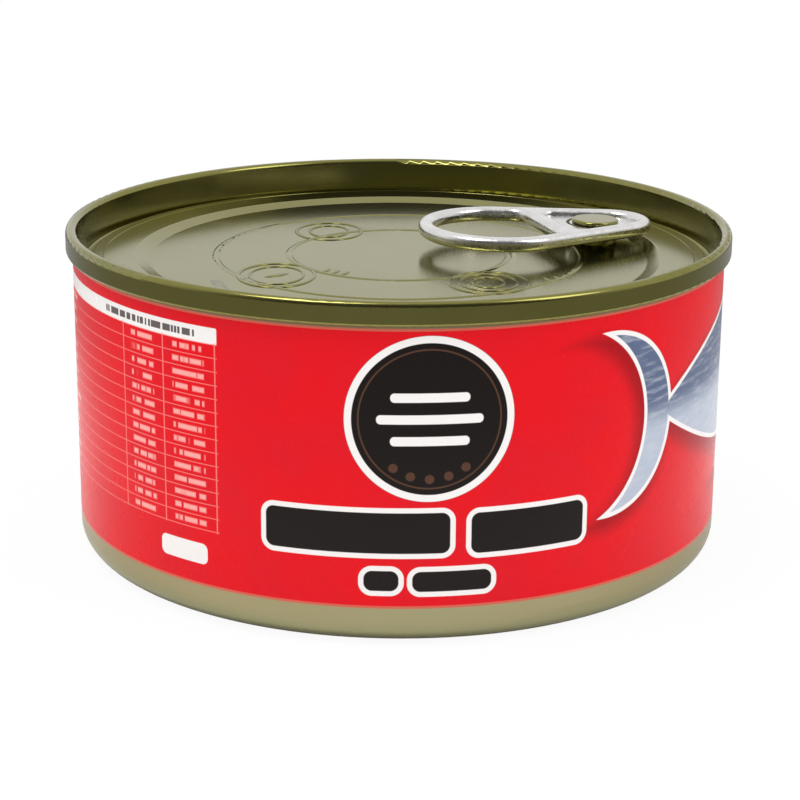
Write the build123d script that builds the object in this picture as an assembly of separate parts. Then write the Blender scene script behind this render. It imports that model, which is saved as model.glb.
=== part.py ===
from build123d import *
import math
import os

# A shut 307-diameter can of tuna: a drawn tinplate body with a ring-pull end seamed on.
# Origin: centre of the standing ring, on the surface that the can stands on. +Z is up.
# Lengths are in millimetres and angles in degrees.

# ---- Body ----------------------------------------------------------------------
CAN_HEIGHT = 42.0
BODY_DIAMETER = 84.3
BOTTOM_CORNER_RADIUS = 3.25
STANDING_RING_WIDTH = 2.6       # from the outer corner's tangent point inwards
STANDING_RING_RADIUS = 0.8      # rounding of its inner edge
BASE_PANEL_RISE = 1.3           # underside panel above the standing ring
BASE_PANEL_SLOPE = 1.6          # radial run of the slope down to the standing ring
BASE_STEP_DIAMETER = 58.0       # stiffening step in the underside
BASE_STEP_RISE = 0.5
BASE_STEP_SLOPE = 1.2
BASE_FILLET = 0.6

# ---- Seamed end ----------------------------------------------------------------
SHEET = 0.3
SEAM_HEIGHT = 2.9
SEAM_PROUD = 0.85               # how far the seam stands outside the body wall
SEAM_WIDTH = 1.4                # rolled seam, outside face to chuck wall
SEAM_FOOT_FILLET = 0.35
CHUCK_WALL_LEAN = 0.55          # how far the chuck wall leans in on its way down
GROOVE_DEPTH = 4.9              # countersink groove below the seam's crest
GROOVE_WIDTH = 1.15
GROOVE_FILLET = 0.45
RING_PANEL_DEPTH = 4.0          # outer, ring-shaped panel below the crest
RING_PANEL_FILLET = 0.4         # rounding of its outer edge
INNER_PANEL_DEPTH = 4.5         # inner panel below the crest
INNER_PANEL_DIAMETER = 64.6
INNER_PANEL_SLOPE = 1.9         # radial run of the slope between the two panels
INNER_PANEL_FILLET = 0.8
SCORE_WIDTH = 0.3               # score line that the end tears along
SCORE_CUT = 0.1
SCORE_INSET = 1.6               # from the ring-shaped panel's outer edge
BEAD_DIAMETERS = (28.6, 47.6)   # fine raised lines in the inner panel
BEAD_WIDTH = 0.9
BEAD_PROUD = 0.12

# ---- Ring pull and rivet -------------------------------------------------------
TAB_DIRECTION = 18.5            # the radius that the ring pull lies along, from +X
TAB_TILT = 1.0                  # the finger ring stands higher than the nose
TAB_REACH = 35.3                # tip of the nose, from the can's axis
TAB_DEPTH = 2.4                 # middle of the nose's edge below the seam's crest
TAB_LENGTH = 32.0
TAB_THICKNESS = 1.9
TAB_RING_DIAMETER = 21.2
TAB_NOSE_DIAMETER = 11.2
TAB_EDGE_WIDTH = 1.95           # curled edge
TAB_EDGE_FILLET = 0.82
CROSSBAR_WIDTH = 2.2            # bar between the finger hole and the nose
CROSSBAR_TO_TIP = 13.2          # its nose side, from the tip of the nose
HOLE_CORNER_RADIUS = 2.4
WEB_THICKNESS = 0.4             # plate inside the nose, which the rivet holds
WEB_CORNER_RADIUS = 1.5
RIVET_TO_TIP = 7.6
RIVET_SHANK_DIAMETER = 3.2
RIVET_HEAD_DIAMETER = 6.2
RIVET_HEAD_HEIGHT = 0.5
RIVET_HEAD_FILLET = 0.3
RIVET_FOOT_DIAMETER = 6.0
RIVET_CLEARANCE = 0.1
LANCE_DIAMETER = 7.3            # C-shaped cut round the rivet's head
LANCE_WIDTH = 0.45
LANCE_SPAN = 220.0

BODY_RADIUS = BODY_DIAMETER / 2
SEAM_RADIUS = BODY_RADIUS + SEAM_PROUD
CHUCK_TOP_RADIUS = SEAM_RADIUS - SEAM_WIDTH
CHUCK_FOOT_RADIUS = CHUCK_TOP_RADIUS - CHUCK_WALL_LEAN
RING_PANEL_RADIUS = CHUCK_FOOT_RADIUS - GROOVE_WIDTH
INNER_PANEL_RADIUS = INNER_PANEL_DIAMETER / 2
SEAM_FOOT = CAN_HEIGHT - SEAM_HEIGHT
RING_PANEL_TOP = CAN_HEIGHT - RING_PANEL_DEPTH
INNER_PANEL_TOP = CAN_HEIGHT - INNER_PANEL_DEPTH
WEB_TOP = WEB_THICKNESS / 2
SHARP = 0.0


def turned(corners):
    """The solid of revolution of an outline given as (radius, height, corner radius)."""
    points = [(radius, height) for radius, height, _ in corners]
    roundings = [rounding for _, _, rounding in corners]
    section = Plane.XZ * FilletPolyline(*points, radius=roundings, close=True)
    return revolve(make_face(section), Axis.Z)


def sheet_underside(corners, thickness):
    """The lower face's corners, from the inside out, of a sheet with these upper corners."""
    lower = []
    for before, here, after in zip(corners, corners[1:], corners[2:]):
        arriving = Vector(here[0] - before[0], here[1] - before[1]).normalized()
        leaving = Vector(after[0] - here[0], after[1] - here[1]).normalized()
        down_before = Vector(-arriving.Y, arriving.X)
        down_after = Vector(-leaving.Y, leaving.X)
        shift = (down_before + down_after) * (thickness / (1 + down_before.dot(down_after)))
        bulge = math.copysign(1, arriving.cross(leaving).Z)
        rounding = max(here[2] - bulge * thickness, thickness / 5)
        lower.append((here[0] + shift.X, here[1] + shift.Y, rounding))
    return lower[::-1]


def can_envelope():
    """The body and its contents up to the seam's foot, with the underside's panel and steps."""
    foot_inner = BODY_RADIUS - BOTTOM_CORNER_RADIUS - STANDING_RING_WIDTH
    panel_edge = foot_inner - BASE_PANEL_SLOPE
    step = BASE_STEP_DIAMETER / 2
    centre_height = BASE_PANEL_RISE + BASE_STEP_RISE
    return turned([
        (0, SEAM_FOOT, SHARP),
        (0, centre_height, SHARP),
        (step, centre_height, BASE_FILLET),
        (step + BASE_STEP_SLOPE, BASE_PANEL_RISE, BASE_FILLET),
        (panel_edge, BASE_PANEL_RISE, BASE_FILLET),
        (foot_inner, 0, STANDING_RING_RADIUS),
        (BODY_RADIUS, 0, BOTTOM_CORNER_RADIUS),
        (BODY_RADIUS, SEAM_FOOT, SHARP),
    ])


def end_sheet():
    """The end as one turned sheet: rolled seam, chuck wall, groove and the two panels."""
    groove_floor = CAN_HEIGHT - GROOVE_DEPTH
    crest_fillet = SEAM_WIDTH * 0.48
    seam = [
        (BODY_RADIUS, SEAM_FOOT, SHARP),
        (SEAM_RADIUS, SEAM_FOOT, SEAM_FOOT_FILLET),
        (SEAM_RADIUS, CAN_HEIGHT, crest_fillet),
    ]
    upper = [
        (CHUCK_TOP_RADIUS, CAN_HEIGHT, crest_fillet),
        (CHUCK_FOOT_RADIUS, groove_floor, GROOVE_FILLET),
        (RING_PANEL_RADIUS, groove_floor, GROOVE_FILLET),
        (RING_PANEL_RADIUS, RING_PANEL_TOP, RING_PANEL_FILLET),
        (INNER_PANEL_RADIUS + INNER_PANEL_SLOPE, RING_PANEL_TOP, INNER_PANEL_FILLET),
        (INNER_PANEL_RADIUS, INNER_PANEL_TOP, INNER_PANEL_FILLET),
        (0, INNER_PANEL_TOP, SHARP),
    ]
    lower = sheet_underside(upper, SHEET)
    lean = CHUCK_WALL_LEAN / GROOVE_DEPTH
    wall_back = CHUCK_TOP_RADIUS - SEAM_HEIGHT * lean + SHEET * math.hypot(1, lean)
    axis_point = (0, INNER_PANEL_TOP - SHEET, SHARP)
    return turned(seam + upper + [axis_point] + lower + [(wall_back, SEAM_FOOT, SHARP)])


def score_line():
    """The ring cut out of the outer panel's top."""
    middle = RING_PANEL_RADIUS - SCORE_INSET
    half = SCORE_WIDTH / 2
    return turned([
        (middle - half, RING_PANEL_TOP + SCORE_CUT, SHARP),
        (middle, RING_PANEL_TOP - SCORE_CUT, SHARP),
        (middle + half, RING_PANEL_TOP + SCORE_CUT, SHARP),
    ])


def bead(diameter):
    """A fine raised line round the inner panel, sunk a little into the sheet to join it."""
    radius, half = diameter / 2, BEAD_WIDTH / 2
    root = INNER_PANEL_TOP - SHEET / 2
    section = ThreePointArc(
        (radius - half, INNER_PANEL_TOP),
        (radius, INNER_PANEL_TOP + BEAD_PROUD),
        (radius + half, INNER_PANEL_TOP),
    ) + Polyline(
        (radius + half, INNER_PANEL_TOP),
        (radius + half, root),
        (radius - half, root),
        (radius - half, INNER_PANEL_TOP),
    )
    return revolve(make_face(Plane.XZ * section), Axis.Z)


def on_tab(shape):
    """Moves a shape from the tab's own frame, with +X towards the tip, to its place."""
    tip = Pos(TAB_REACH, 0, CAN_HEIGHT - TAB_DEPTH)
    return Rot(0, 0, TAB_DIRECTION) * tip * Rot(0, TAB_TILT, 0) * shape


def rivet():
    """The rivet drawn up out of the end: foot, shank through the tab's web, and head."""
    rise = RIVET_TO_TIP * math.sin(math.radians(TAB_TILT))
    web_height = CAN_HEIGHT - TAB_DEPTH + rise
    sheet_middle = INNER_PANEL_TOP - SHEET / 2
    foot_height = web_height - WEB_TOP - sheet_middle
    foot_top = -WEB_TOP
    head_foot = WEB_TOP + RIVET_CLEARANCE
    upright = Align.MIN
    centred = Align.CENTER
    align = (centred, centred, upright)
    foot = Pos(0, 0, foot_top - foot_height) * Cone(
        RIVET_FOOT_DIAMETER / 2, RIVET_SHANK_DIAMETER / 2 + foot_height / 2, foot_height, align=align
    )
    shank_length = head_foot - foot_top + RIVET_HEAD_HEIGHT / 2
    shank = Pos(0, 0, foot_top) * Cylinder(RIVET_SHANK_DIAMETER / 2, shank_length, align=align)
    head = Pos(0, 0, head_foot) * Cylinder(RIVET_HEAD_DIAMETER / 2, RIVET_HEAD_HEIGHT, align=align)
    head = fillet(head.edges().sort_by(Axis.Z)[-1], RIVET_HEAD_FILLET)
    return on_tab(Pos(-RIVET_TO_TIP, 0, 0) * (foot + shank + head))


def lid():
    """The whole end, with its score line, beads and rivet."""
    end = end_sheet() - score_line()
    for diameter in BEAD_DIAMETERS:
        end += bead(diameter)
    return end + rivet()


def can_body(end):
    """What of the envelope lies under the end."""
    return (can_envelope() - end).solids().sort_by(SortBy.VOLUME)[-1]


def tab_outline(inset=0):
    """The tab seen from above: a finger ring running straight into a narrower nose."""
    ring_radius = TAB_RING_DIAMETER / 2
    nose_radius = TAB_NOSE_DIAMETER / 2
    ring = Pos(ring_radius - TAB_LENGTH, 0) * Circle(ring_radius - inset)
    nose = Pos(-nose_radius, 0) * Circle(nose_radius - inset)
    return make_hull(ring.edges() + nose.edges())


def part_of(shape, start, end):
    """The part of a flat shape between two places along the tab."""
    return shape & (Pos((start + end) / 2, 0) * Rectangle(end - start, 2 * TAB_RING_DIAMETER))


def finger_hole():
    """The opening inside the ring, straight along the crossbar."""
    crossbar = -CROSSBAR_TO_TIP - CROSSBAR_WIDTH
    hole = part_of(tab_outline(TAB_EDGE_WIDTH), -TAB_LENGTH, crossbar)
    return fillet(hole.vertices().group_by(Axis.X)[-1], HOLE_CORNER_RADIUS)


def nose_pocket():
    """The opening inside the nose, which the web lies across."""
    pocket = part_of(tab_outline(TAB_EDGE_WIDTH), -CROSSBAR_TO_TIP, 0)
    return fillet(pocket.vertices().group_by(Axis.X)[0], WEB_CORNER_RADIUS)


def flat_faces(solid):
    """The tab's flat top and bottom."""
    faces = solid.faces().filter_by(Axis.Z).sort_by(Axis.Z)
    return faces[0], faces[-1]


def curled_edge():
    """The tab's rounded rim and crossbar, open at the finger hole and inside the nose."""
    half = TAB_THICKNESS / 2
    tab = Pos(0, 0, -half) * extrude(tab_outline(), TAB_THICKNESS)
    for opening in (finger_hole(), nose_pocket()):
        tab -= Pos(0, 0, -TAB_THICKNESS) * extrude(opening, 2 * TAB_THICKNESS)
    edges = [edge for face in flat_faces(tab) for edge in face.edges()]
    return fillet(edges, TAB_EDGE_FILLET)


def web():
    """The plate inside the nose, with the rivet's hole and the cut round its head."""
    reach = TAB_EDGE_WIDTH / 2
    plate = part_of(tab_outline(reach), -CROSSBAR_TO_TIP - CROSSBAR_WIDTH / 2, 0)
    plate = Pos(0, 0, -WEB_TOP) * extrude(plate, WEB_THICKNESS)
    rivet_place = Pos(-RIVET_TO_TIP, 0)
    start = (360 - LANCE_SPAN) / 2
    cut = rivet_place * SlotArc(CenterArc((0, 0), LANCE_DIAMETER / 2, start, LANCE_SPAN), LANCE_WIDTH)
    hole = rivet_place * Circle(RIVET_SHANK_DIAMETER / 2 + RIVET_CLEARANCE)
    return plate - Pos(0, 0, -WEB_THICKNESS) * extrude(hole + cut, 2 * WEB_THICKNESS)


def ring_pull():
    """The whole tab, in its place on the end."""
    return on_tab(curled_edge() + web())


end = lid()
parts = {"can_body": can_body(end), "lid": end, "ring_pull": ring_pull()}
os.makedirs("parts", exist_ok=True)
for node, shape in parts.items():
    export_step(shape, f"parts/{node}.step")
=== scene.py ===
import math

import bmesh
import bpy
from mathutils import Matrix, Vector


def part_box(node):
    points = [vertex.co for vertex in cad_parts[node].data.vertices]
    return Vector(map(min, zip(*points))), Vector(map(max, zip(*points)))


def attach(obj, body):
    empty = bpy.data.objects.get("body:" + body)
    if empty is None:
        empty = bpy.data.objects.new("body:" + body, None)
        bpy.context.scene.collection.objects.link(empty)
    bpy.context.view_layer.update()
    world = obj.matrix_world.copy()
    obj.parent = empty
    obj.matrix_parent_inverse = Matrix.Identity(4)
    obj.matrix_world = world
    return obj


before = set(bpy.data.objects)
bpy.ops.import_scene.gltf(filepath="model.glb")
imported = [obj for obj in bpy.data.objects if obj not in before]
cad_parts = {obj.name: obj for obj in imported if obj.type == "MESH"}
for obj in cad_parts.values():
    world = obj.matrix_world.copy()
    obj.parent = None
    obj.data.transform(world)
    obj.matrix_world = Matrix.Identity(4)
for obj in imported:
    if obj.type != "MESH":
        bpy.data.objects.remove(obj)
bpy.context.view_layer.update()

MM = 0.001
BODY_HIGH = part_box("can_body")[1]
BODY_RADIUS = BODY_HIGH.x
SEAM_FOOT = BODY_HIGH.z
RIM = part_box("lid")[1].z               # crest of the seam
INNER_PANEL_TOP = RIM - 4.5 * MM       # the end's own panel depth

# ---- The print's layout, in millimetres: across the front from its middle, and above the table
PRINT_FOOT = 4.85
PRINT_TOP = SEAM_FOOT / MM - 0.35
ROUNDEL = (3.8, 28.0)
ROUNDEL_RADIUS = 9.95
WAVE_BARS = ((2.6, 4.6), (0.0, 6.2), (-2.6, 4.6))   # above the badge's middle, half length
WAVE_HALF_HEIGHT = 0.55
WHITE_RING = (0.45, 0.42)              # how far inside the badge's edge, half width
BROWN_RING = (1.65, 0.10)
BEADS = 5
BEAD_STEP = 18                         # degrees between the badge's beads
BEAD_CIRCLE = 7.2
BEAD_RADIUS = 0.55
WORD_BARS = (                          # left, right, middle height, half height
    (-15.6, 6.3, 14.2, 2.5),
    (8.8, 23.2, 14.0, 2.5),
    (-3.8, 0.3, 8.3, 1.25),
    (1.9, 11.3, 8.2, 1.25),
)
WORD_BORDER = 0.62
WORD_CORNER = 1.0
FISH = (36.2, 24.9)                    # where the tail joins the body
FISH_LENGTH = 33.0                     # half of the body
FISH_HALF_HEIGHT = 9.6
FISH_BORDER = 0.55
TAIL = ((-9.6, 0.0), 11.0)             # middle from the tail's root, radius
TAIL_BITE = ((-16.0, 0.0), 13.1)
FIN = ((21.0, -3.5), 9.2)
FIN_BITE = ((16.5, -5.0), 9.6)
SHADE_SHIFT = (0.9, 1.0)
TABLE = (-44.5, 23.6)
TABLE_HALF = (22.6, 11.8)
TABLE_RULES = (-22.2, -30.2, -37.8)
TABLE_COLUMNS = ((-34.0, 2.1), (-26.2, 2.4))        # middle, half width of the figures
ROW_PITCH = 1.65
ROW_SHIFT = 0.35
NAMES_LEFT = -66.0
NAMES_SHORTEST = -63.0
NAMES_SPREAD = 14.0
RULE_HALF_WIDTH = 0.09
ROW_RULE_HALF_WIDTH = 0.055
DASH_HALF_HEIGHT = 0.30
FIGURES_HALF_HEIGHT = 11.4
HEADING_HEIGHT = 36.1
HEADING_HALF_HEIGHT = 1.0
CAPTION = (-33.5, 8.5)                 # middle, half width of the dark caption on the heading
CAPTION_HALF_HEIGHT = 0.42
WEIGHT_PLATE = ((-27.4, 8.9), (3.7, 1.3))           # middle, half size

# ---- The end's marks, in millimetres from the can's axis
EMBOSSED_OVALS = (                     # middle, two radii of each line, width of the line
    ((-15.3, -12.2), (4.8, 6.2), 0.5),
    ((-15.3, -12.2), (3.4, 4.6), 0.4),
    ((11.2, -15.2), (5.0, 5.6), 0.5),
    ((11.2, -15.2), (3.6, 4.2), 0.4),
    ((11.2, -15.2), (2.0, 2.6), 0.4),
    ((-9.5, 13.0), (4.4, 5.2), 0.5),
    ((-9.5, 13.0), (2.6, 3.4), 0.4),
)
EMBOSSED_BAR = ((-15.3, -12.2), (3.6, 1.1), 35)     # middle, size, degrees
EMBOSSED_DASHES = (                    # first middle, step to the next, size, degrees
    ((-9.2, -9.6), (1.2, -0.7), (0.8, 2.6), -25),
    ((18.6, -13.2), (1.3, 0.9), (0.8, 2.4), 20),
)
DASHES_IN_A_SET = 3
EMBOSSING = 0.13                       # how far the marks stand proud
DATE_TURN = -16                        # degrees from straight across the panel
DATE_ROWS = ((-31.6, -15.5, -9.0), (-29.0, -17.0, -11.5), (-26.0, -15.8, -8.0))
DATE_HALF_HEIGHT = 0.75

# ---- Colours, linear
RED = (0.70, 0.002, 0.008)
RED_DEEP = (0.65, 0.004, 0.013)
RED_EDGE = (0.55, 0.16, 0.10)
RED_SHADE = (0.16, 0.002, 0.004)
OLIVE_GOLD = (0.335, 0.320, 0.175)     # the olive-gold lacquer, bare round the body's foot
END_GOLD = (0.220, 0.207, 0.060)       # the same lacquer, darker on the end: painted shade for the dark tones it mirrors
END_GOLD_PALE = (0.238, 0.223, 0.070)
BLACK_INK = (0.010, 0.007, 0.006)
GREY_INK = (0.12, 0.10, 0.10)
DATE_INK = (0.06, 0.05, 0.04)
WHITE_INK = (0.80, 0.78, 0.76)
BROWN_INK = (0.085, 0.038, 0.022)
PINK_INK = (0.86, 0.22, 0.20)
PALE_PINK_INK = (0.90, 0.42, 0.38)
SLATE = (0.10, 0.13, 0.22)
SLATE_PALE = (0.42, 0.47, 0.56)
SLATE_STREAK = (0.55, 0.58, 0.64)
TIN = (0.74, 0.73, 0.715)
TIN_WORN = (0.66, 0.65, 0.64)
WHITE = (1.0, 1.0, 1.0)

# ---- The studio
FLOOR_WHITE = (0.90, 0.90, 0.90)
FLOOR_GLOW = 0.93                      # how much of the floor is plain white to the eye
FLOOR_NEAR, FLOOR_FAR = 62.0, 150.0    # where its mirror image starts and ends its fall, mm
FLOOR_DUSK = 0.38
TENT_FRONT, TENT_BACK = 0.10, 0.95     # brightness of the surroundings in a mirror
TENT_EDGES = (-0.75, 0.10)
KEY = ((-0.25, -0.15, 0.75), (0.30, 0.30), 2.0)     # place and size in metres, watts
FILL = ((0.45, -0.20, 0.55), (0.25, 0.35), 1.0)
CAMERA_DISTANCE = 300.0 * MM
CAMERA_HEIGHT_OF_MIDDLE = 22.0 * MM
CAMERA_ASIDE = 0.32 * MM
CAMERA_ELEVATION, CAMERA_DIP, CAMERA_ROLL = 16.12, 16.93, 0.436
CAMERA_LENS = 101.8


class Wire:
    """A node socket that takes part in Python arithmetic."""

    def __init__(self, bench, socket):
        self.bench = bench
        self.socket = socket

    def _math(self, operation, *values):
        return self.bench.node("ShaderNodeMath", {"operation": operation}, values)

    def __add__(self, other):
        return self._math("ADD", self, other)

    def __sub__(self, other):
        return self._math("SUBTRACT", self, other)

    def __rsub__(self, other):
        return self._math("SUBTRACT", other, self)

    def __mul__(self, other):
        return self._math("MULTIPLY", self, other)

    __radd__ = __add__
    __rmul__ = __mul__

    def abs(self):
        return self._math("ABSOLUTE", self)

    def least(self, other):
        return self._math("MINIMUM", self, other)

    def most(self, other):
        return self._math("MAXIMUM", self, other)

    def root(self):
        return self._math("SQRT", self)

    def remainder(self, step):
        return self._math("FLOORED_MODULO", self, step)


class Bench:
    """One material's node tree and the few ways of adding to it."""

    def __init__(self, name):
        self.material = bpy.data.materials.new(name)
        self.material.use_nodes = True
        self.nodes = self.material.node_tree.nodes
        self.links = self.material.node_tree.links
        self.shader = self.nodes["Principled BSDF"]

    def node(self, kind, settings=None, inputs=(), output=0):
        """A new node: settings first, then its inputs by place or name. Returns one output."""
        made = self.nodes.new(kind)
        for name, value in (settings or {}).items():
            setattr(made, name, value)
        pairs = inputs.items() if isinstance(inputs, dict) else enumerate(inputs)
        for key, value in pairs:
            self.feed(made.inputs[key], value)
        return Wire(self, made.outputs[output])

    def feed(self, socket, value):
        """Links a wire to a socket, or sets a number or colour on it."""
        if isinstance(value, Wire):
            self.links.new(value.socket, socket)
            return
        if socket.type == "RGBA" and len(value) == 3:
            value = (*value, 1.0)
        socket.default_value = value

    def place(self):
        """Object coordinates in millimetres, as three wires."""
        where = self.node("ShaderNodeTexCoord", output="Object")
        scaled = self.node("ShaderNodeVectorMath", {"operation": "SCALE"}, {0: where, "Scale": 1 / MM})
        return [self.node("ShaderNodeSeparateXYZ", inputs=[scaled], output=axis) for axis in "XYZ"]

    def noise(self, scale, detail=2.0, vector=None):
        """Noise over the given vector, or over object space with its scale counted per metre."""
        where = vector or self.node("ShaderNodeTexCoord", output="Object")
        return self.node(
            "ShaderNodeTexNoise", inputs={"Vector": where, "Scale": scale, "Detail": detail}
        )

    def vector(self, x, y, z):
        return self.node("ShaderNodeCombineXYZ", inputs=[x, y, z])

    def mix(self, factor, below, above):
        """The colour above laid over the colour below."""
        made = self.nodes.new("ShaderNodeMix")
        made.data_type = "RGBA"
        self.feed(made.inputs["Factor"], factor)
        self.feed(made.inputs[6], below)
        self.feed(made.inputs[7], above)
        return Wire(self, made.outputs[2])

    def ramp(self, value, low, high):
        """0 below low and 1 above high, smooth between."""
        return self.node(
            "ShaderNodeMapRange",
            {"interpolation_type": "SMOOTHSTEP"},
            {"Value": value, "From Min": low, "From Max": high},
        )

    def inside(self, distance, blur=0.10):
        """1 where a signed distance in millimetres is below nought."""
        return 1 - self.ramp(distance, -blur / 2, blur / 2)

    def set(self, **inputs):
        """Feeds the shader's sockets, named with underscores for spaces."""
        for name, value in inputs.items():
            self.feed(self.shader.inputs[name.replace("_", " ")], value)

    def bump(self, height, distance, strength):
        made = self.node(
            "ShaderNodeBump", inputs={"Strength": strength, "Distance": distance, "Height": height}
        )
        self.feed(self.shader.inputs["Normal"], made)


# ---- Flat shapes as signed distances, in millimetres ----------------------------

def disc(across, up, middle, radius):
    x = across - middle[0]
    y = up - middle[1]
    return (x * x + y * y).root() - radius


def box(across, up, middle, half, corner=0.2):
    """A box with rounded corners. The corner also gives the inside its negative distance."""
    x = ((across - middle[0]).abs() - (half[0] - corner)).most(0.0)
    y = ((up - middle[1]).abs() - (half[1] - corner)).most(0.0)
    return (x * x + y * y).root() - corner


def ring(distance, half_width):
    """The line along a shape's outline."""
    return distance.abs() - half_width


def joined(shapes):
    """All of the shapes as one."""
    whole = shapes[0]
    for shape in shapes[1:]:
        whole = whole.least(shape)
    return whole


# ---- The printed body ------------------------------------------------------------

def roundel(across, up):
    """The round badge: its field, white ring, brown ring with beads, and plain wave bars."""
    distance = disc(across, up, ROUNDEL, ROUNDEL_RADIUS)
    white = ring(distance + WHITE_RING[0], WHITE_RING[1])
    brown = ring(distance + BROWN_RING[0], BROWN_RING[1])
    waves = joined([
        box(across, up, (ROUNDEL[0], ROUNDEL[1] + level), (half, WAVE_HALF_HEIGHT), 0.5)
        for level, half in WAVE_BARS
    ])
    beads = []
    for turn in range(BEADS):
        angle = math.radians(-90 + BEAD_STEP * (turn - BEADS // 2))
        spot = (
            ROUNDEL[0] + BEAD_CIRCLE * math.cos(angle),
            ROUNDEL[1] + BEAD_CIRCLE * math.sin(angle),
        )
        beads.append(disc(across, up, spot, BEAD_RADIUS))
    return distance, white, brown.least(joined(beads)), waves


def word_bars(across, up):
    """Rounded bars where the can's name and its second line are printed."""
    return joined([
        box(across, up, ((left + right) / 2, middle), ((right - left) / 2, half), WORD_CORNER)
        for left, right, middle, half in WORD_BARS
    ])


def fish_disc(across, up, place):
    """A disc placed from the root of the tail."""
    (aside, above), radius = place
    return disc(across, up, (FISH[0] + aside, FISH[1] + above), radius)


def fish(across, up):
    """A plain fish: a lens-shaped body with a crescent tail and one simple fin."""
    bow = (FISH_LENGTH ** 2 + FISH_HALF_HEIGHT ** 2) / (2 * FISH_HALF_HEIGHT)
    middle = (FISH[0] + FISH_LENGTH, FISH[1])
    body = disc(across, up, (middle[0], middle[1] + bow - FISH_HALF_HEIGHT), bow).most(
        disc(across, up, (middle[0], middle[1] - bow + FISH_HALF_HEIGHT), bow)
    )
    tail = fish_disc(across, up, TAIL).most(0.0 - fish_disc(across, up, TAIL_BITE))
    fin = fish_disc(across, up, FIN).most(0.0 - fish_disc(across, up, FIN_BITE))
    return joined([body, tail, fin])


def table_block(across, up, bench):
    """The information panel: a white heading bar, fine rules and rows of small dashes."""
    heading = box(across, up, (TABLE[0], HEADING_HEIGHT), (TABLE_HALF[0], HEADING_HALF_HEIGHT))
    field = box(across, up, TABLE, TABLE_HALF)
    rules = joined([
        box(across, up, (place, TABLE[1]), (RULE_HALF_WIDTH, TABLE_HALF[1]))
        for place in TABLE_RULES
    ])
    level = (up + ROW_SHIFT).remainder(ROW_PITCH)
    row_rule = ring(level - ROW_PITCH / 2, ROW_RULE_HALF_WIDTH).most(field)
    counted = up + (ROW_SHIFT + ROW_PITCH / 2)
    row = counted - counted.remainder(ROW_PITCH)
    line = ring(level, DASH_HALF_HEIGHT).least(ring(level - ROW_PITCH, DASH_HALF_HEIGHT))
    line = line.most(field)
    length = bench.noise(1.0, 0.0, bench.vector(2.0, row * 5.3, 0.0)) * NAMES_SPREAD
    names = (across - NAMES_SHORTEST - length).most(0.0 - across + NAMES_LEFT)
    figures = joined([
        box(across, up, (middle, TABLE[1]), (half, FIGURES_HALF_HEIGHT))
        for middle, half in TABLE_COLUMNS
    ])
    words = bench.noise(1.0, 0.0, bench.vector(across * 1.3, row * 9.1, 4.0))
    dashes = line.most(names.least(figures)).most((0.40 - words) * 3)
    return heading, rules.least(row_rule), dashes


def lay_fish(ink, across, up, bench):
    """The fish with its soft shade and white border."""
    shape = fish(across, up)
    shade = fish(across + SHADE_SHIFT[0], up + SHADE_SHIFT[1])
    belly = bench.ramp(up - (FISH[1] + 0.5), -3.0, 1.5)
    streak = bench.noise(1.0, 3.0, bench.vector(across * 0.25, up * 1.6, 0.0))
    scales = bench.mix(belly, SLATE_PALE, SLATE)
    scales = bench.mix(bench.ramp(streak, 0.45, 0.75) * 0.45, scales, SLATE_STREAK)
    ink = bench.mix((1 - bench.ramp(shade, -0.3, 2.6)) * 0.62, ink, RED_SHADE)
    ink = bench.mix(bench.inside(shape - FISH_BORDER), ink, WHITE_INK)
    return bench.mix(bench.inside(shape), ink, scales)


def lay_table(ink, across, up, bench):
    """The information panel, its broken dark caption and the pale plate below it."""
    heading, rules, dashes = table_block(across, up, bench)
    ink = bench.mix(bench.inside(heading), ink, WHITE_INK)
    ink = bench.mix(bench.inside(rules) * 0.8, ink, PINK_INK)
    ink = bench.mix(bench.inside(dashes, 0.3) * 0.85, ink, PALE_PINK_INK)
    caption = box(across, up, (CAPTION[0], HEADING_HEIGHT), (CAPTION[1], CAPTION_HALF_HEIGHT), 0.3)
    letters = bench.noise(1.0, 0.0, bench.vector(across * 1.9, 0.0, 9.0))
    ink = bench.mix(bench.inside(caption.most((0.45 - letters) * 3)), ink, GREY_INK)
    plate = box(across, up, *WEIGHT_PLATE, 0.8)
    return bench.mix(bench.inside(plate), ink, WHITE_INK)


def lay_badge(ink, across, up, bench):
    """The badge and the word bars under it."""
    badge, white, brown, waves = roundel(across, up)
    ink = bench.mix(bench.inside(badge), ink, BLACK_INK)
    ink = bench.mix(bench.inside(white), ink, WHITE_INK)
    ink = bench.mix(bench.inside(brown), ink, BROWN_INK)
    ink = bench.mix(bench.inside(waves), ink, WHITE_INK)
    bars = word_bars(across, up)
    ink = bench.mix(bench.inside(bars - WORD_BORDER), ink, WHITE_INK)
    return bench.mix(bench.inside(bars), ink, BLACK_INK)


def printed_body():
    """Red litho print over the drawn body, bare gold lacquer round its foot."""
    bench = Bench("litho_print")
    x, y, z = bench.place()
    angle = bench.node("ShaderNodeMath", {"operation": "ARCTAN2"}, [x, 0.0 - y])
    across = angle * (BODY_RADIUS / MM)

    mottle = bench.noise(140.0, 4.0)
    ink = bench.mix(bench.ramp(mottle, 0.35, 0.7), RED, RED_DEEP)
    ink = lay_fish(ink, across, z, bench)
    ink = lay_table(ink, across, z, bench)
    ink = lay_badge(ink, across, z, bench)

    band = ring(z - (PRINT_TOP + PRINT_FOOT) / 2, (PRINT_TOP - PRINT_FOOT) / 2)
    printed = bench.inside(band)
    edge = bench.inside(ring(band + 0.15, 0.16))
    ink = bench.mix(edge * 0.75, ink, RED_EDGE)
    bench.set(
        Base_Color=bench.mix(printed, OLIVE_GOLD, ink),
        Metallic=1 - printed,
        Roughness=0.26 - printed * 0.02 + bench.noise(260.0, 3.0) * 0.06,
        Specular_IOR_Level=0.14,
    )
    ripple = bench.noise(55.0)
    bench.bump(ripple, 0.06 * MM, 0.5)
    return bench.material


# ---- The end and the tab ----------------------------------------------------------

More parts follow.
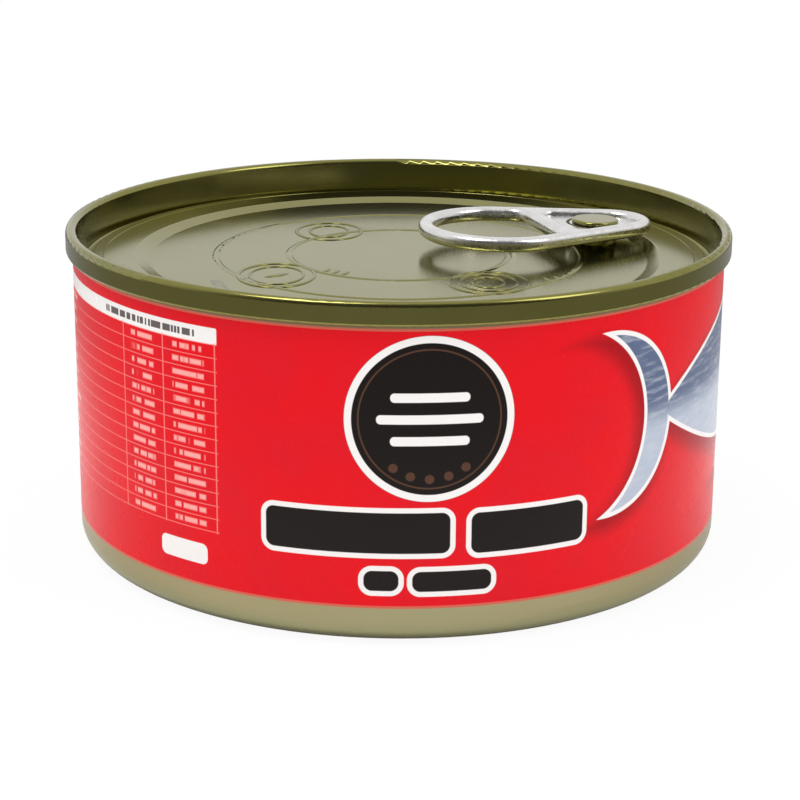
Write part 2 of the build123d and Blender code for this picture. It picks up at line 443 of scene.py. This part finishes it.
def date_marks(x, y, bench):
    """Rows of small broken dashes near the edge of the inner panel."""
    turn = math.radians(DATE_TURN)
    along = x * math.sin(turn) + y * math.cos(turn)
    out = x * math.cos(turn) - y * math.sin(turn)
    rows = joined([
        box(out, along, (place, (low + high) / 2), (DATE_HALF_HEIGHT, (high - low) / 2))
        for place, low, high in DATE_ROWS
    ])
    broken = bench.noise(1.0, 1.0, bench.vector(out * 0.9, along * 2.3, 0.0))
    return rows.most((0.46 - broken) * 3)


def lacquered_tin():
    """Olive-gold lacquer over bright tinplate, with faint rolling lines and light scuffs."""
    bench = Bench("gold_lacquer")
    x, y, z = bench.place()
    lines = bench.noise(1.0, 2.0, bench.vector(x * 0.08, y * 5.0, z * 0.4))
    cloud = bench.noise(90.0, 3.0)
    # Both tones of the end's gold are the body's lacquer darkened as painted shade; the cloud picks
    # between them at random.
    colour = bench.mix(bench.ramp(cloud, 0.3, 0.75), END_GOLD, END_GOLD_PALE)
    panel = 1 - bench.ramp(z, INNER_PANEL_TOP / MM + 0.1, INNER_PANEL_TOP / MM + 0.3)
    inked = bench.inside(date_marks(x, y, bench), 0.2) * panel * 0.6
    bench.set(
        Base_Color=bench.mix(inked, colour, DATE_INK),
        Metallic=1.0,
        Roughness=0.13 + lines * 0.05 + bench.ramp(cloud, 0.55, 0.8) * 0.05,
    )
    bench.bump(lines * 0.15 + bench.noise(45.0, 1.0), 0.03 * MM, 0.5)
    return bench.material


def bright_tin():
    """Bare tinplate of the ring pull: satin, with forming marks along its curled edge."""
    bench = Bench("bright_tin")
    cloud = bench.noise(420.0, 4.0)
    marks = bench.noise(1500.0, 3.0)
    bench.set(
        Base_Color=bench.mix(bench.ramp(cloud, 0.35, 0.7), TIN, TIN_WORN),
        Metallic=1.0,
        Roughness=0.20 + bench.ramp(marks, 0.35, 0.75) * 0.16,
    )
    bench.bump(marks * 0.1 + cloud, 0.012 * MM, 0.3)
    return bench.material


def raised_ring(middle, radii, width):
    """An embossed oval line: a half-sunk rib, spun and then stretched to its two radii."""
    form = bmesh.new()
    rib = bmesh.ops.create_circle(form, cap_ends=False, segments=10, radius=1.0)["verts"]
    mean = (radii[0] + radii[1]) / 2
    bmesh.ops.scale(form, verts=rib, vec=(width / 2, EMBOSSING, 1))
    bmesh.ops.rotate(form, verts=rib, matrix=Matrix.Rotation(math.pi / 2, 3, "X"))
    bmesh.ops.translate(form, verts=rib, vec=(mean, 0, 0))
    bmesh.ops.spin(
        form, geom=form.verts[:] + form.edges[:], axis=(0, 0, 1), cent=(0, 0, 0),
        angle=2 * math.pi, steps=72, use_merge=True,
    )
    bmesh.ops.scale(form, verts=form.verts, vec=(radii[0] / mean, radii[1] / mean, 1))
    bmesh.ops.translate(form, verts=form.verts, vec=(*middle, 0))
    return form


def raised_dash(middle, size, degrees):
    """A short embossed dash, half sunk in the panel."""
    form = bmesh.new()
    bmesh.ops.create_uvsphere(form, u_segments=16, v_segments=8, radius=1.0)
    bmesh.ops.scale(form, verts=form.verts, vec=(size[0] / 2, size[1] / 2, EMBOSSING))
    turned = Matrix.Rotation(math.radians(degrees), 3, "Z")
    bmesh.ops.rotate(form, verts=form.verts, matrix=turned)
    bmesh.ops.translate(form, verts=form.verts, vec=(*middle, 0))
    return form


def panel_marks(material):
    """Plain embossed ovals and dashes on the inner panel."""
    forms = [raised_ring(*oval) for oval in EMBOSSED_OVALS]
    forms.append(raised_dash(*EMBOSSED_BAR))
    for first, pace, size, degrees in EMBOSSED_DASHES:
        for step in range(DASHES_IN_A_SET):
            middle = (first[0] + pace[0] * step, first[1] + pace[1] * step)
            forms.append(raised_dash(middle, size, degrees))
    mesh = bpy.data.meshes.new("panel_marks")
    whole = bmesh.new()
    for form in forms:
        form.to_mesh(mesh)
        form.free()
        whole.from_mesh(mesh)
    bmesh.ops.scale(whole, verts=whole.verts, vec=(MM, MM, MM))
    bmesh.ops.translate(whole, verts=whole.verts, vec=(0, 0, INNER_PANEL_TOP))
    bmesh.ops.recalc_face_normals(whole, faces=whole.faces)
    for face in whole.faces:
        face.smooth = True
    whole.to_mesh(mesh)
    whole.free()
    mesh.materials.append(material)
    piece = bpy.data.objects.new("panel_marks", mesh)
    bpy.context.scene.collection.objects.link(piece)
    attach(piece, "root")


def dress(node, material):
    """Gives a CAD node its finish."""
    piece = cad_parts[node]
    piece.data.materials.clear()
    piece.data.materials.append(material)


# ---- Floor, light and camera -------------------------------------------------------

def white_floor():
    """White, plainer to the eye, and falling off away from the can in a mirror."""
    bench = Bench("white_floor")
    bench.set(Base_Color=FLOOR_WHITE, Roughness=0.9)
    lit = Wire(bench, bench.shader.outputs[0])
    seen = bench.node("ShaderNodeLightPath", output="Is Camera Ray")
    glow = bench.node("ShaderNodeEmission", inputs={"Color": WHITE, "Strength": 1.0})
    near = bench.node("ShaderNodeMixShader", inputs=[seen * FLOOR_GLOW, lit, glow])
    x, y, _ = bench.place()
    away = bench.ramp((x * x + y * y).root(), FLOOR_NEAR, FLOOR_FAR)
    mirrored = bench.node("ShaderNodeLightPath", output="Is Glossy Ray")
    dusk = bench.node("ShaderNodeEmission", inputs={"Color": WHITE, "Strength": FLOOR_DUSK})
    whole = bench.node("ShaderNodeMixShader", inputs=[mirrored * away, near, dusk])
    bench.feed(bench.nodes["Material Output"].inputs["Surface"], whole)
    return bench.material


def floor():
    """A wide plain floor, which keeps the can's shadow."""
    mesh = bpy.data.meshes.new("floor")
    form = bmesh.new()
    bmesh.ops.create_grid(form, x_segments=1, y_segments=1, size=3.0)
    form.to_mesh(mesh)
    form.free()
    mesh.materials.append(white_floor())
    plane = bpy.data.objects.new("floor", mesh)
    bpy.context.scene.collection.objects.link(plane)


def surroundings():
    """White all round, but in a mirror darker on the camera's side, as in a light tent."""
    world = bpy.data.worlds.new("tent")
    bpy.context.scene.world = world
    world.use_nodes = True
    nodes, links = world.node_tree.nodes, world.node_tree.links
    background = nodes["Background"]
    background.inputs["Color"].default_value = (*WHITE, 1.0)
    path = nodes.new("ShaderNodeLightPath")
    direction = nodes.new("ShaderNodeTexCoord")
    split = nodes.new("ShaderNodeSeparateXYZ")
    links.new(direction.outputs["Generated"], split.inputs[0])
    front = nodes.new("ShaderNodeMapRange")
    front.interpolation_type = "SMOOTHSTEP"
    front.inputs["From Min"].default_value = TENT_EDGES[0]
    front.inputs["From Max"].default_value = TENT_EDGES[1]
    front.inputs["To Min"].default_value = TENT_FRONT
    front.inputs["To Max"].default_value = TENT_BACK
    links.new(split.outputs["Y"], front.inputs["Value"])
    level = nodes.new("ShaderNodeMix")
    level.inputs["A"].default_value = 1.0
    links.new(path.outputs["Is Glossy Ray"], level.inputs["Factor"])
    links.new(front.outputs[0], level.inputs["B"])
    links.new(level.outputs["Result"], background.inputs["Strength"])


def lamp(name, place, size, watts):
    """A soft box aimed at the can's middle."""
    light = bpy.data.lights.new(name, "AREA")
    light.shape = "RECTANGLE"
    light.size, light.size_y = size
    light.energy = watts
    holder = bpy.data.objects.new(name, light)
    bpy.context.scene.collection.objects.link(holder)
    holder.location = place
    aim = Vector((0, 0, RIM / 2)) - holder.location
    holder.rotation_euler = aim.to_track_quat("-Z", "Y").to_euler()


def camera():
    """A long-lens view from above the rim, aimed a little below the can's middle."""
    rise, tilt = math.radians(CAMERA_ELEVATION), math.radians(CAMERA_DIP)
    back = Vector((0, -math.cos(tilt), math.sin(tilt)))
    up = Vector((0, math.sin(tilt), math.cos(tilt)))
    turn = Matrix((Vector((1, 0, 0)), up, back)).transposed().to_4x4()
    roll = Matrix.Rotation(math.radians(CAMERA_ROLL), 4, "Z")
    height = CAMERA_HEIGHT_OF_MIDDLE + CAMERA_DISTANCE * math.sin(rise)
    place = Vector((CAMERA_ASIDE, -CAMERA_DISTANCE * math.cos(rise), height))
    data = bpy.data.cameras.new("camera")
    data.lens = CAMERA_LENS
    data.sensor_width = 36.0
    data.clip_start = 0.01
    holder = bpy.data.objects.new("camera", data)
    bpy.context.scene.collection.objects.link(holder)
    holder.matrix_world = Matrix.Translation(place) @ turn @ roll
    bpy.context.scene.camera = holder


dress("can_body", printed_body())
lacquer = lacquered_tin()
dress("lid", lacquer)
panel_marks(lacquer)
dress("ring_pull", bright_tin())
floor()
surroundings()
lamp("key", *KEY)
lamp("fill", *FILL)
camera()
bpy.context.scene.view_settings.view_transform = "Standard"
